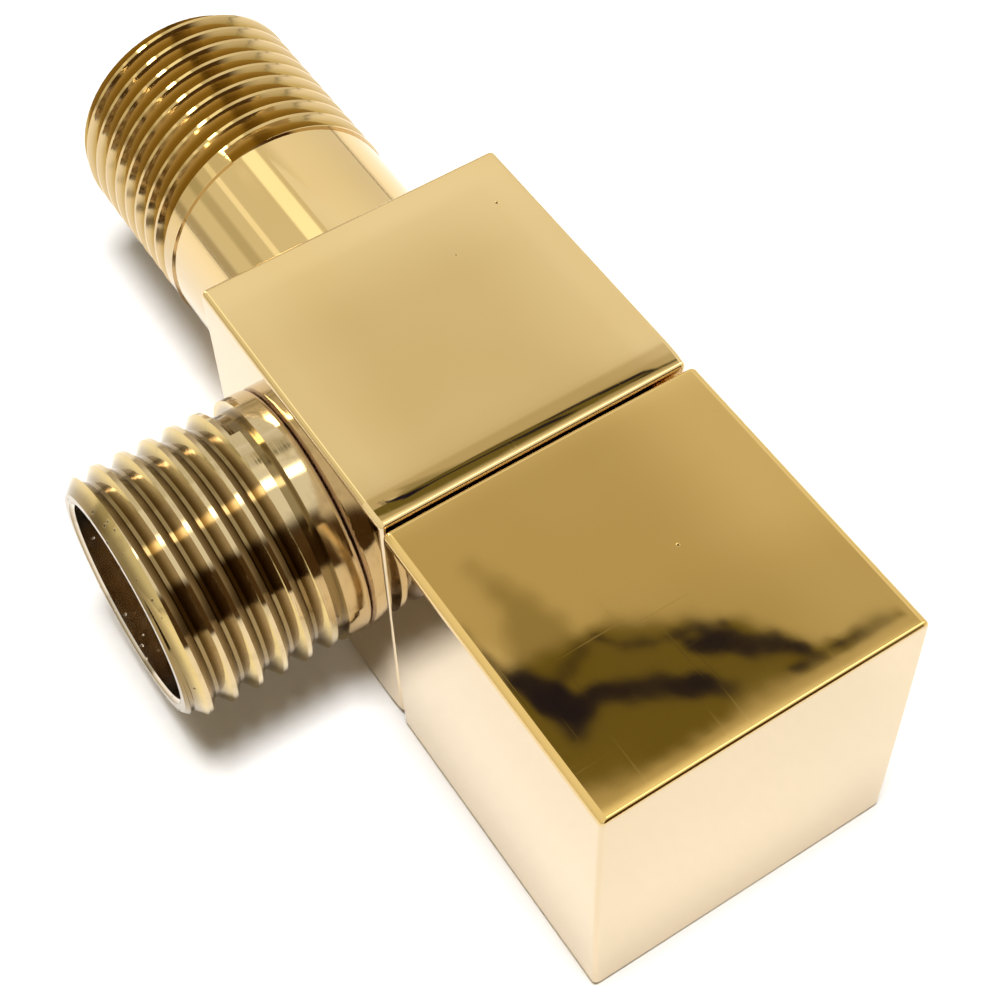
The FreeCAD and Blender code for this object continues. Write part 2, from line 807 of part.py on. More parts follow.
def make_adaptor_screw():
    """The cross-recessed screw that holds the adaptor on the spindle."""
    body = new_body("adaptor_screw")
    seat = cell("spindle_end") + cell("web_gap") + cell("web_thickness")
    head = seat + 2.1
    head_radius = 3.5
    shank = 1.95
    end = seat - 7.6
    section = blank_sketch(body, "screw_section", "XY_Plane")
    add_loop(
        section,
        [
            (end, 0),
            (head, 0),
            (head, head_radius - 0.6),
            (head - 0.6, head_radius),
            (seat + 0.02, head_radius),
            (seat + 0.02, shank),
            (end + 0.4, shank),
            (end, shank - 0.45),
        ],
    )
    turn(body, "Revolution", "screw_turned", section)
    recess_depth = 1.2
    bar = blank_sketch(body, "recess_outline", "YZ_Plane", head - recess_depth)
    add_loop(bar, rectangle(-2.0, -0.45, 2.0, 0.45))
    cut = extrude(body, "Pocket", "recess", bar, recess_depth + BEYOND, backwards=True)
    repeat(body, "cross_recess", cut, 4)
    return body


def make_handle_shell():
    """The hollow square handle: crowned sides, closed front, and a boss for the adaptor."""
    body = new_body("handle_shell")
    half = HANDLE_HALF
    crown = cell("handle_crown")
    crown_radius = (half * half + crown * crown) / (crown * 2)
    outline = blank_sketch(body, "handle_outline", "YZ_Plane", HANDLE_BACK)
    corners = rectangle(-half, -half, half, half)
    add_loop(outline, corners, {side: crown_radius for side in range(4)})
    extrude(body, "Pad", "handle_block", outline, cell("handle_length"))
    straight = cell("handle_length").value / 2
    round_edges(
        body, "side_edges", cell("handle_side_round"), lambda edge: edge.BoundBox.XLength > straight
    )
    round_edges(
        body, "end_edges", cell("handle_end_round"), lambda edge: edge.BoundBox.XLength < BEYOND
    )

    inner = half - cell("handle_wall")
    hollow = blank_sketch(body, "hollow_outline", "YZ_Plane", HANDLE_BACK)
    add_loop(hollow, rectangle(-inner, -inner, inner, inner))
    depth = cell("handle_length") - cell("handle_wall")
    extrude(body, "Pocket", "hollow", hollow, depth, backwards=True)
    boss = blank_sketch(body, "boss_circle", "YZ_Plane", cell("boss_back"))
    add_circle(boss, 0, 0, cell("boss_radius"))
    extrude(body, "Pad", "boss", boss, HANDLE_FRONT - 1.0 - cell("boss_back"))
    socket = blank_sketch(body, "socket_circle", "YZ_Plane", cell("boss_back"))
    add_circle(socket, 0, 0, cell("adaptor_radius") + 0.03)
    adaptor_front = cell("adaptor_back") + cell("adaptor_length")
    extrude(body, "Pocket", "socket", socket, adaptor_front + 0.5 - cell("boss_back"), backwards=True)
    hole = blank_sketch(body, "grub_hole_circle", "XY_Plane")
    add_circle(hole, cell("grub_place"), 0, cell("grub_radius") + 0.02)
    extrude(body, "Pocket", "grub_hole", hole, half + BEYOND)
    return body


def make_grub_screw():
    """The socket grub screw under the handle, which presses on the adaptor's flat."""
    body = new_body("grub_screw")
    top = as_size(-5.52)
    length = HANDLE_HALF - 0.5 + top
    shank = blank_sketch(body, "grub_circle", "XY_Plane", top - length)
    add_circle(shank, cell("grub_place"), 0, cell("grub_radius") - 0.02)
    extrude(body, "Pad", "grub", shank, length)
    socket = blank_sketch(body, "grub_socket_outline", "XY_Plane", top - length)
    corners = [polar(1.0 / math.cos(math.pi / 6), 60 * i) for i in range(6)]
    add_loop(socket, [(x + cell("grub_place"), y) for x, y in corners])
    extrude(body, "Pocket", "grub_socket", socket, 2.0, backwards=True)
    return body


make_valve_body()
make_outlet_spigot()
make_outlet_o_ring()
make_strainer()
make_seat()
make_fixed_disc()
make_rotating_disc()
make_housing()
make_spindle()
make_spindle_rings()
ring_of_revolution("thrust_washer", rectangle(48.45, 4.15, cell("cavity_end") - 0.05, 7.4))
make_circlip()
make_adaptor()
make_adaptor_screw()
make_handle_shell()
make_grub_screw()
doc.recompute()

failed = [o.Name for o in doc.Objects if {"Invalid", "Error"} & set(o.State)]
if failed:
    raise SystemExit(f"these objects failed to compute: {failed}")
for part in sub_parts:
    if part.Shape.isNull() or not part.Shape.isValid():
        raise SystemExit(f"{part.Label} has no valid shape")

os.makedirs("parts", exist_ok=True)
for part in sub_parts:
    part.Shape.exportStep(f"parts/{part.Label}.step")
    print(f"{part.Label}: {len(part.Shape.Solids)} solid, {part.Shape.Volume:.1f} mm3")
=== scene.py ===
import math

import bpy
import numpy as np
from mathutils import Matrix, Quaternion, Vector


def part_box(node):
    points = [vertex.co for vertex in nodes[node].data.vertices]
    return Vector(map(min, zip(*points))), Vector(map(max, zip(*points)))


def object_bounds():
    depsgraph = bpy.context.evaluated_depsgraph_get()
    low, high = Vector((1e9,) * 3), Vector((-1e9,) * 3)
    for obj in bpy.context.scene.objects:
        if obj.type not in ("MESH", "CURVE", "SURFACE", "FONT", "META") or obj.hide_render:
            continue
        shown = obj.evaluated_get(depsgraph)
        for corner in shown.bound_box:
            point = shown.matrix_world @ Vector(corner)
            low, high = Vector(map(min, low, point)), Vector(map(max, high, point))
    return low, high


# Looks, light and camera for a gold-plated square angle stop valve. Everything is in metres, in
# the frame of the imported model: the inlet's end face is at the origin, the inlet, block and
# handle follow +X, the outlet points along -Y and the top faces look up +Z.

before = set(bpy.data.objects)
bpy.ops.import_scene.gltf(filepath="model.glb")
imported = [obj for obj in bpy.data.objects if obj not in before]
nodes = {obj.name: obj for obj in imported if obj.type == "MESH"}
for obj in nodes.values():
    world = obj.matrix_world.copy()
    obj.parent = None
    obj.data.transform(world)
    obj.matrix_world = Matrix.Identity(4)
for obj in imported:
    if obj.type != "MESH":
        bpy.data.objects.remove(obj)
cad_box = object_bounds()

MM = 0.001
MICRON = 1e-6

FLOOR_HEIGHT = cad_box[0].z
TOP_HEIGHT = cad_box[1].z
THREAD_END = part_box("valve_body")[0].x + 18.0 * MM
BLOCK_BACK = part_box("valve_body")[0].x + 31.4 * MM
INLET_BORE = (7.2 * MM, 8.4 * MM)       # from the bore's wall out to the plated end face
INLET_GROOVE = (9.8 * MM, 10.45 * MM)   # from the thread's groove up to its crest
OUTLET_MOUTH = (8.35 * MM, 8.6 * MM)    # from the outlet's bore out to its end face
OUTLET_GROOVE = (0.85 * MM, 0.1 * MM)   # the same two places, below the outlet's crests
OUTLET_WEAR = (0.4 * MM, 1.8 * MM)      # where the pits at the outlet's end thin out and stop

# ---------------------------------------------------------------------------------- camera

EYE = Vector((128.5, -46.6, 127.1)) * MM
VIEW_DIRECTION = Vector((-0.4906, 0.2993, -0.8184)).normalized()
CAMERA_ROLL = math.radians(-2.2)
FOCAL_LENGTH = 72.25


def make_camera():
    """The main camera, close above the handle's front corner."""
    camera = bpy.data.objects.new("camera", bpy.data.cameras.new("camera"))
    bpy.context.scene.collection.objects.link(camera)
    camera.data.sensor_width = 36.0
    camera.data.lens = FOCAL_LENGTH
    camera.data.clip_start = 0.01
    camera.data.clip_end = 20.0
    camera.location = EYE
    camera.rotation_mode = "QUATERNION"
    level = VIEW_DIRECTION.to_track_quat("-Z", "Y")
    camera.rotation_quaternion = level @ Quaternion((0, 0, 1), CAMERA_ROLL)
    bpy.context.scene.camera = camera


# ----------------------------------------------------------------------- short node calls


def feed(tree, socket, value):
    """Links a socket to another node's output, or sets its value."""
    if isinstance(value, bpy.types.NodeSocket):
        tree.links.new(value, socket)
    else:
        socket.default_value = value


def add(tree, kind, inputs, output=0, **settings):
    """Adds a shader node with its settings and inputs, and returns one of its outputs."""
    node = tree.nodes.new("ShaderNode" + kind)
    for name, value in settings.items():
        setattr(node, name, value)
    for name, value in inputs.items():
        feed(tree, node.inputs[name], value)
    return node.outputs[output]


def maths(tree, operation, *values):
    """One arithmetic step on numbers."""
    return add(tree, "Math", dict(enumerate(values)), operation=operation)


def vector_maths(tree, operation, *values, output=0):
    """One arithmetic step on vectors."""
    return add(tree, "VectorMath", dict(enumerate(values)), output, operation=operation)


def total(tree, *values):
    """The sum of any number of values."""
    result = values[0]
    for value in values[1:]:
        result = maths(tree, "ADD", result, value)
    return result


def spread(tree, value, low, high, to_low=0.0, to_high=1.0):
    """Carries a value smoothly from one range to another, and holds it at both ends."""
    inputs = {"Value": value, "From Min": low, "From Max": high, "To Min": to_low, "To Max": to_high}
    return add(tree, "MapRange", inputs, interpolation_type="SMOOTHSTEP")


def mix(tree, factor, first, second):
    """A colour between two colours."""
    inputs = {0: factor, 6: first, 7: second}
    return add(tree, "Mix", inputs, 2, data_type="RGBA")


def noise(tree, vector, scale, detail=2.0, roughness=0.5):
    """Cloudy noise from 0 to 1; the scale counts features to the metre."""
    inputs = {"Vector": vector, "Scale": scale, "Detail": detail, "Roughness": roughness}
    return add(tree, "TexNoise", inputs)


def stretch(tree, vector, x, y, z):
    """The same place, with each direction stretched by its own factor."""
    return vector_maths(tree, "MULTIPLY", vector, (x, y, z))


def bump(tree, height, distance, normal=None):
    """A relief of that height, in metres, laid on the relief under it."""
    inputs = {"Strength": 1.0, "Distance": distance, "Height": height}
    if normal is not None:
        inputs["Normal"] = normal
    return add(tree, "Bump", inputs)


def place(tree):
    """The place on the piece, in metres, which moves with the piece."""
    return add(tree, "TexCoord", {}, "Object")


def facing_way(tree):
    """The way that the surface faces, which turns with the piece."""
    return add(tree, "TexCoord", {}, "Normal")


def split(tree, vector):
    """The x, y and z of a vector."""
    parts = tree.nodes.new("ShaderNodeSeparateXYZ")
    feed(tree, parts.inputs[0], vector)
    return parts.outputs


def colour(red, green, blue):
    """A linear colour with full alpha."""
    return (red, green, blue, 1.0)


def new_material(name, **fixed):
    """A material with one Principled shader, whose uniform values are set on its own sockets."""
    material = bpy.data.materials.new(name)
    material.use_nodes = True
    shader = material.node_tree.nodes["Principled BSDF"]
    for socket, value in fixed.items():
        shader.inputs[socket.replace("_", " ")].default_value = value
    return material, material.node_tree, shader


def finish_shader(tree, shader, base, roughness, normal):
    """Wires the three things that vary over a surface."""
    feed(tree, shader.inputs["Base Color"], base)
    feed(tree, shader.inputs["Roughness"], roughness)
    feed(tree, shader.inputs["Normal"], normal)


# -------------------------------------------------------------------------------- colours

# Painted shade: the paler, dimmer gold that upright faces get for how the light falls on them.
UPRIGHT_SHADE_GOLD = colour(0.65, 0.53, 0.36)
BODY_GOLD = (colour(0.80, 0.59, 0.275), colour(0.78, 0.565, 0.25))
HANDLE_GOLD = (colour(0.78, 0.545, 0.20), colour(0.765, 0.525, 0.18))
# The inlet thread's duller bronze, deepest where painted shade falls in its grooves.
THREAD_BRONZE_AND_GROOVE_SHADE = colour(0.42, 0.275, 0.065)
BORE_BRONZE = colour(0.42, 0.30, 0.12)
PIT_BROWN = colour(0.16, 0.09, 0.03)
OUTLET_GOLD = colour(0.64, 0.50, 0.28)
# Painted reflection tints for the outlet's thread flanks: warm towards the open end, cool towards the
# block.
WARM_FLANK_REFLECTION = colour(0.64, 0.48, 0.19)
COOL_FLANK_REFLECTION = colour(0.46, 0.39, 0.38)
# Brown for painted shade in the outlet's thread roots, and for the plating's random blotches.
BLOTCH_AND_ROOT_SHADE_BROWN = colour(0.24, 0.165, 0.065)
BORE_SILVER = colour(0.70, 0.62, 0.49)
DEEP_PIT = colour(0.07, 0.04, 0.02)
BRASS = (colour(0.74, 0.52, 0.22), colour(0.47, 0.31, 0.12))
STEEL = (colour(0.62, 0.62, 0.63), colour(0.45, 0.45, 0.46))
RUBBER = (colour(0.016, 0.016, 0.017), colour(0.05, 0.049, 0.047))
PLASTIC = (colour(0.74, 0.73, 0.69), colour(0.82, 0.81, 0.78))
CERAMIC = (colour(0.88, 0.86, 0.81), colour(0.62, 0.60, 0.56))
TABLE_WHITE = (colour(0.88, 0.88, 0.88), colour(0.92, 0.92, 0.92))


# ------------------------------------------------------------------------ surface details


def fine_scratches(tree, position):
    """Faint wiping scratches in two directions, as a mask from 0 to 1."""
    along = noise(tree, stretch(tree, position, 0.03, 1.0, 1.0), 2600.0, 1.0)
    across = noise(tree, stretch(tree, position, 1.0, 0.025, 0.6), 2300.0, 1.0)
    first = spread(tree, along, 0.66, 0.76)
    second = spread(tree, across, 0.68, 0.78)
    return maths(tree, "MAXIMUM", first, second)


def tiny_pits(tree, position, spacing, share, size):
    """Sparse pits: a share of the cells of that spacing holds one, of that size in the cell."""
    cells = tree.nodes.new("ShaderNodeTexVoronoi")
    feed(tree, cells.inputs["Vector"], position)
    cells.inputs["Scale"].default_value = 1.0 / spacing
    chosen = split(tree, cells.outputs["Color"])[0]
    has_pit = maths(tree, "LESS_THAN", chosen, share)
    depth = spread(tree, cells.outputs["Distance"], size * 0.35, size, 1.0, 0.0)
    return maths(tree, "MULTIPLY", depth, has_pit)


def distance_from_x_axis(tree, parts):
    """The radius at a place on a piece that is turned about the X axis."""
    squares = [maths(tree, "MULTIPLY", parts[i], parts[i]) for i in (1, 2)]
    return maths(tree, "SQRT", total(tree, *squares))


def distance_from_outlet_axis(tree, parts):
    """The radius at a place on the outlet, which is turned about a line along Y."""
    low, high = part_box("outlet_spigot")
    sideways = maths(tree, "SUBTRACT", parts[0], (low.x + high.x) / 2)
    squares = [maths(tree, "MULTIPLY", value, value) for value in (sideways, parts[2])]
    return maths(tree, "SQRT", total(tree, *squares))


# ------------------------------------------------------------------------------ materials


def buffed_edges(tree, position, low, high, reach):
    """How far buffing has let each face of a box fall away within reach of its edges, from 0 to 1."""
    centre = (low + high) / 2
    flat = (high - low) / 2 - Vector((reach, reach, reach))
    offset = vector_maths(tree, "ABSOLUTE", vector_maths(tree, "SUBTRACT", position, centre))
    beyond = vector_maths(tree, "MAXIMUM", vector_maths(tree, "SUBTRACT", offset, flat), (0, 0, 0))
    beyond = vector_maths(tree, "MINIMUM", beyond, (reach, reach, reach))
    squared = vector_maths(tree, "DOT_PRODUCT", beyond, beyond, output="Value")
    return maths(tree, "DIVIDE", squared, -reach * reach)


def polished_plate(name, golds, low, high, reach, fall, with_thread=False):
    """Bright gold-coloured plating over a polished block from low to high, whose faces fall away
    a little within reach of the edges. Faces that stand upright get a paler, dimmer gold, which is
    painted shade for how the light falls on them."""
    material, tree, shader = new_material(name, Metallic=1.0)
    position = place(tree)
    upright = maths(tree, "ABSOLUTE", split(tree, facing_way(tree))[2])
    patches = noise(tree, position, 55.0, 2.0)
    pits = tiny_pits(tree, position, 2.6 * MM, 0.12, 0.065)
    scratches = fine_scratches(tree, position)
    light_gold, deep_gold = golds
    base = mix(tree, spread(tree, patches, 0.35, 0.65), deep_gold, light_gold)
    # Painted shade: faces that stand upright are turned towards a paler, dimmer gold for how the light
    # falls on them.
    base = mix(tree, spread(tree, upright, 0.1, 0.75, 0.85, 0.0), base, UPRIGHT_SHADE_GOLD)
    if with_thread:
        parts = split(tree, position)
        radius = distance_from_x_axis(tree, parts)
        on_thread = spread(tree, parts[0], THREAD_END - 0.3 * MM, THREAD_END, 1.0, 0.0)
        inside = spread(tree, radius, *INLET_BORE, 1.0, 0.0)
        # The thread takes a duller bronze tone, and painted shade makes it darker towards the roots of
        # its grooves.
        groove = spread(tree, radius, *INLET_GROOVE, 0.95, 0.30)
        bronze_and_groove_shade = maths(tree, "MULTIPLY", on_thread, groove)
        base = mix(tree, bronze_and_groove_shade, base, THREAD_BRONZE_AND_GROOVE_SHADE)
        base = mix(tree, inside, base, BORE_BRONZE)
    base = mix(tree, pits, base, PIT_BROWN)
    cloudiness = spread(tree, noise(tree, position, 170.0, 3.0), 0.3, 0.7, 0.018, 0.05)
    roughness = total(
        tree, cloudiness, maths(tree, "MULTIPLY", scratches, 0.03), maths(tree, "MULTIPLY", pits, 0.3)
    )
    relief = bump(tree, buffed_edges(tree, position, low, high, reach), fall)
    relief = bump(tree, noise(tree, position, 85.0, 1.0), 8 * MICRON, relief)
    relief = bump(tree, noise(tree, position, 620.0, 2.0), 0.4 * MICRON, relief)
    relief = bump(tree, maths(tree, "SUBTRACT", 1.0, scratches), 0.12 * MICRON, relief)
    relief = bump(tree, maths(tree, "SUBTRACT", 1.0, pits), 30 * MICRON, relief)
    if with_thread:
        turned = noise(tree, stretch(tree, position, 1.0, 0.04, 0.04), 9000.0, 1.0)
        depth = maths(tree, "MULTIPLY", turned, maths(tree, "MAXIMUM", on_thread, inside))
        relief = bump(tree, depth, 3.5 * MICRON, relief)
        roughness = total(tree, roughness, maths(tree, "MULTIPLY", bronze_and_groove_shade, 0.10))
    finish_shader(tree, shader, base, roughness, relief)
    return material


def machined_plate(name):
    """Thin plating that shows the lathe's fine rings, with brown blotches, and pitted at the open end.
    Painted shade turns the thread's grooves brown, and painted reflection tints the flanks:
    cooler on those that face the block, warmer on those that face the open end."""
    material, tree, shader = new_material(name, Metallic=1.0)
    position = place(tree)
    parts = split(tree, position)
    radius = distance_from_outlet_axis(tree, parts)
    facing = split(tree, facing_way(tree))[1]
    # Painted reflection: flanks that face the open end are tinted warmer, and flanks that face the
    # block cooler.
    base = mix(tree, spread(tree, facing, -0.75, -0.15, 1.0, 0.0), OUTLET_GOLD, WARM_FLANK_REFLECTION)
    base = mix(tree, spread(tree, facing, 0.15, 0.75), base, COOL_FLANK_REFLECTION)
    # Painted shade: the thread turns brown towards the roots of its grooves.
    crest = radius_of_outlet()
    root, top = (crest - depth for depth in OUTLET_GROOVE)
    base = mix(tree, spread(tree, radius, root, top, 0.92, 0.0), base, BLOTCH_AND_ROOT_SHADE_BROWN)
    base = mix(tree, spread(tree, radius, *OUTLET_MOUTH, 1.0, 0.0), base, BORE_SILVER)
    blotches = noise(tree, position, 420.0, 3.0, 0.6)
    base = mix(tree, spread(tree, blotches, 0.5, 0.75, 0.0, 0.35), base, BLOTCH_AND_ROOT_SHADE_BROWN)
    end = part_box("outlet_spigot")[0].y
    wear_full, wear_gone = (end + distance for distance in OUTLET_WEAR)
    near_end = spread(tree, parts[1], wear_full, wear_gone, 1.0, 0.0)
    pits = maths(tree, "MULTIPLY", tiny_pits(tree, position, 0.9 * MM, 0.45, 0.2), near_end)
    base = mix(tree, pits, base, DEEP_PIT)
    rings = noise(tree, stretch(tree, position, 0.012, 1.0, 0.012), 11000.0, 2.0, 0.6)
    wide_rings = noise(tree, stretch(tree, position, 0.02, 1.0, 0.02), 2600.0, 1.0)
    roughness = total(
        tree, spread(tree, blotches, 0.3, 0.7, 0.06, 0.14), maths(tree, "MULTIPLY", pits, 0.4)
    )
    relief = bump(tree, noise(tree, position, 240.0, 2.0), 6 * MICRON)
    relief = bump(tree, wide_rings, 6 * MICRON, relief)
    relief = bump(tree, rings, 2.2 * MICRON, relief)
    relief = bump(tree, maths(tree, "SUBTRACT", 1.0, pits), 60 * MICRON, relief)
    finish_shader(tree, shader, base, roughness, relief)
    return material


def radius_of_outlet():
    """The crest radius of the outlet's thread."""
    low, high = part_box("outlet_spigot")
    return (high.z - low.z) / 2


def turned_metal(name, tones, ring_scale):
    """Bare turned metal: fine rings along X, dull patches and small stains."""
    material, tree, shader = new_material(name, Metallic=1.0)
    position = place(tree)
    rings = noise(tree, stretch(tree, position, 1.0, 0.05, 0.05), ring_scale, 2.0)
    stains = noise(tree, position, 380.0, 4.0, 0.6)
    base = mix(tree, spread(tree, stains, 0.42, 0.68), *tones)
    roughness = total(
        tree, spread(tree, rings, 0.3, 0.7, 0.20, 0.32), spread(tree, stains, 0.4, 0.8, 0.0, 0.12)
    )
    relief = bump(tree, rings, 4 * MICRON, bump(tree, stains, 3 * MICRON))
    finish_shader(tree, shader, base, roughness, relief)
    return material


def moulded_rubber(name):
    """Black nitrile rubber with a fine grain and a little grease and dust."""
    material, tree, shader = new_material(name, Metallic=0.0, Specular_IOR_Level=0.4)
    position = place(tree)
    grain = noise(tree, position, 4200.0, 3.0, 0.6)
    grease = noise(tree, position, 520.0, 2.0)
    base = mix(tree, spread(tree, grain, 0.45, 0.8), *RUBBER)
    roughness = spread(tree, grease, 0.35, 0.65, 0.38, 0.62)
    finish_shader(tree, shader, base, roughness, bump(tree, grain, 12 * MICRON))
    return material


def moulded_plastic(name):
    """White bearing plastic with a faint flow pattern and moulding grain."""
    material, tree, shader = new_material(name, Metallic=0.0, Specular_IOR_Level=0.5)
    position = place(tree)
    flow = noise(tree, position, 260.0, 3.0)
    grain = noise(tree, position, 5200.0, 2.0)
    base = mix(tree, spread(tree, flow, 0.35, 0.65), *PLASTIC)
    roughness = spread(tree, grain, 0.3, 0.7, 0.36, 0.5)
    finish_shader(tree, shader, base, roughness, bump(tree, grain, 5 * MICRON))
    return material


def lapped_ceramic(name):
    """White alumina, lapped almost to a mirror, with its fine grey grain."""
    material, tree, shader = new_material(name, Metallic=0.0, Specular_IOR_Level=0.7)
    position = place(tree)
    grain = noise(tree, position, 6500.0, 4.0, 0.7)
    cloud = noise(tree, position, 300.0, 2.0)
    base = mix(tree, spread(tree, grain, 0.55, 0.8), *CERAMIC)
    roughness = spread(tree, cloud, 0.3, 0.7, 0.12, 0.22)
    finish_shader(tree, shader, base, roughness, bump(tree, grain, 1.5 * MICRON))
    return material


def dress(material, *names):
    """Puts one material on the named CAD nodes."""
    for name in names:
        for material_slot in nodes[name].material_slots:
            material_slot.material = material


def dress_all():
    """Gives every CAD node its finish."""
    body_low, body_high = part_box("valve_body")
    body_low.x = BLOCK_BACK
    body_gold = polished_plate(
        "body_gold",
        BODY_GOLD,
        body_low,
        body_high,
        reach=3.2 * MM,
        fall=30 * MICRON,
        with_thread=True,
    )
    dress(body_gold, "valve_body")
    handle_gold = polished_plate(
        "handle_gold", HANDLE_GOLD, *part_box("handle_shell"), reach=1.5 * MM, fall=4 * MICRON
    )
    dress(handle_gold, "handle_shell")
    dress(machined_plate("outlet_pale_gold"), "outlet_spigot")
    brass = turned_metal("turned_brass", BRASS, 5200.0)
    dress(brass, "cartridge_housing", "spindle", "handle_adaptor", "strainer_rim")
    steel = turned_metal("bright_steel", STEEL, 6800.0)
    dress(steel, "strainer_cup", "spindle_circlip", "adaptor_screw", "grub_screw")
    dress(
        moulded_rubber("black_rubber"),
        "outlet_o_ring",
        "housing_o_ring",
        "lower_spindle_o_ring",
        "upper_spindle_o_ring",
        "seat_seal",
    )
    dress(moulded_plastic("white_plastic"), "seat_support_ring", "thrust_washer")
    dress(lapped_ceramic("white_ceramic"), "fixed_disc", "rotating_disc")


# --------------------------------------------------------------------------------- studio

CARD_HEIGHT = 0.55          # above the valve's top faces
CARD_STEP = 0.35 * MM       # the card's mesh, as it is seen in the top faces
CARD_FROM = Vector((26.0, -20.0)) * MM
CARD_TO = Vector((94.0, 20.0)) * MM

# Colours of the room as the card shows it.
OPEN_LIGHT = np.array((1.02, 1.02, 1.02))
PALE_WALL = np.array((0.80, 0.765, 0.68))
WARM_WALL = np.array((0.57, 0.51, 0.37))
DIM_WARM = np.array((0.40, 0.35, 0.20))
OLIVE_SHADE = np.array((0.150, 0.125, 0.024))
DARK_SHAPE = np.array((0.016, 0.013, 0.036))
BRIGHT_EDGE = np.array((1.25, 1.22, 1.10))


def smooth_step(value, low, high):
    """0 below low, 1 above high, and smooth between."""
    t = np.clip((value - low) / (high - low), 0.0, 1.0)
    return t * t * (3.0 - 2.0 * t)


def blend_in(picture, amount, tone):
    """Lays a colour over the picture, by an amount at each point."""
    return picture + (tone - picture) * amount[:, None]


def distance_to_stroke(x, y, line):
    """How far each point is from the rim of a stroke, whose half width changes along it."""
    nearest = np.full(x.shape, 1e9)
    for (x0, y0, wide0), (x1, y1, wide1) in zip(line[:-1], line[1:]):
        dx, dy = x1 - x0, y1 - y0
        along = np.clip(((x - x0) * dx + (y - y0) * dy) / (dx * dx + dy * dy), 0.0, 1.0)
        gap = np.hypot(x - x0 - along * dx, y - y0 - along * dy)
        nearest = np.minimum(nearest, gap - wide0 - (wide1 - wide0) * along)
    return nearest


# The crowned top of the handle shows the card's strokes narrower than a flat face would.
CROWN_SPREAD = 1.2

# Each stroke: its (x, y, half width) points in millimetres, where the handle's top shows them,
# its softness, its colour and its strength.
STROKES = (
    (
        (81.2, 4.2, 1.6), (79.5, 0.9, 3.2), (78.8, -2.7, 4.4), (78.0, -6.3, 5.4), (77.6, -10.5, 5.2),
        (77.6, -13.0, 4.6), 1.3, OLIVE_SHADE, 0.94,
    ),
    (
        (64.1, -9.8, 0.2), (68.0, -8.9, 1.0), (70.8, -9.0, 1.9), (72.9, -9.3, 2.6),
        1.5, OLIVE_SHADE, 0.52,
    ),
    ((82.4, 12.3, 0.4), (82.2, 9.0, 0.6), (82.2, 5.0, 0.9), 0.5, OLIVE_SHADE, 0.85),
    (
        (73.0, -11.9, 0.8), (75.3, -11.0, 1.3), (77.4, -10.2, 1.3), (78.8, -10.9, 0.6),
        0.5, DARK_SHAPE, 1.0,
    ),
    ((72.9, -12.3, 0.6), (71.0, -12.8, 0.35), (68.0, -13.2, 0.15), 0.4, DARK_SHAPE, 0.9),
    (
        (76.8, -8.9, 0.8), (78.0, -6.3, 0.9), (79.2, -3.9, 1.0), (80.4, -1.8, 0.95), (81.3, -0.6, 0.4),
        0.7, DARK_SHAPE, 0.95,
    ),
    (
        (73.2, -6.3, 0.12), (74.7, -5.0, 0.22), (75.6, -3.3, 0.28), (76.0, -1.2, 0.28),
        (76.3, 0.6, 0.28), (76.8, 1.8, 0.35), 0.3, DARK_SHAPE, 0.95,
    ),
    (
        (77.4, -0.9, 0.7), (77.7, 0.6, 1.15), (79.1, 2.1, 0.9), (80.0, 3.9, 0.8), (81.3, 5.3, 0.45),
        0.5, DARK_SHAPE, 0.95,
    ),
    (
        (82.5, 12.2, 0.15), (82.4, 9.6, 0.25), (82.1, 7.5, 0.25), (82.4, 5.1, 0.3), (82.1, 3.4, 0.15),
        0.3, DARK_SHAPE, 0.9,
    ),
    ((73.5, -7.2, 0.4), (74.6, -9.4, 0.6), 1.0, DARK_SHAPE, 0.5),
    ((69.4, -12.4, 0.15), (71.8, -11.5, 0.35), 0.4, PALE_WALL, 0.6),
)


# The card turns to open light towards the inlet and to both sides, and warm and dim towards the
# handle's front: the places in millimetres where each fade starts and is full.
INLET_LIGHT = (42.0, 30.0)
RIGHT_LIGHT = (3.0, 14.0)
LEFT_LIGHT = (-5.0, -13.0)
WARM_FADE = (52.0, 61.0)
WARM_THINS = (2.0, 13.0)
DIM_FADE = (70.0, 78.0)
FRONT_LIGHT = (84.0, 85.5)


def card_picture(x, y):
    """The colours of the card at points in millimetres, as the top faces show them."""
    picture = np.repeat(PALE_WALL[None, :], x.size, axis=0)
    picture = blend_in(picture, smooth_step(x, *INLET_LIGHT), OPEN_LIGHT)
    picture = blend_in(picture, 0.75 * smooth_step(y, *RIGHT_LIGHT), OPEN_LIGHT)
    picture = blend_in(picture, 0.45 * smooth_step(y, *LEFT_LIGHT), OPEN_LIGHT)
    warm = smooth_step(x, *WARM_FADE) * (0.9 - 0.35 * smooth_step(y, *WARM_THINS))
    picture = blend_in(picture, warm, WARM_WALL)
    picture = blend_in(picture, 0.35 * smooth_step(x, *DIM_FADE), DIM_WARM)
    waver = 0.12 * np.sin(2.3 * x + 0.9 * y) + 0.09 * np.sin(1.3 * x - 3.1 * y + 1.0)
    for *line, softness, tone, strength in STROKES:
        gap = distance_to_stroke(x, y / CROWN_SPREAD, line) + waver
        amount = strength * smooth_step(gap, softness * 0.6, -softness * 0.6)
        picture = blend_in(picture, amount, tone)
    return blend_in(picture, smooth_step(x, *FRONT_LIGHT), BRIGHT_EDGE)


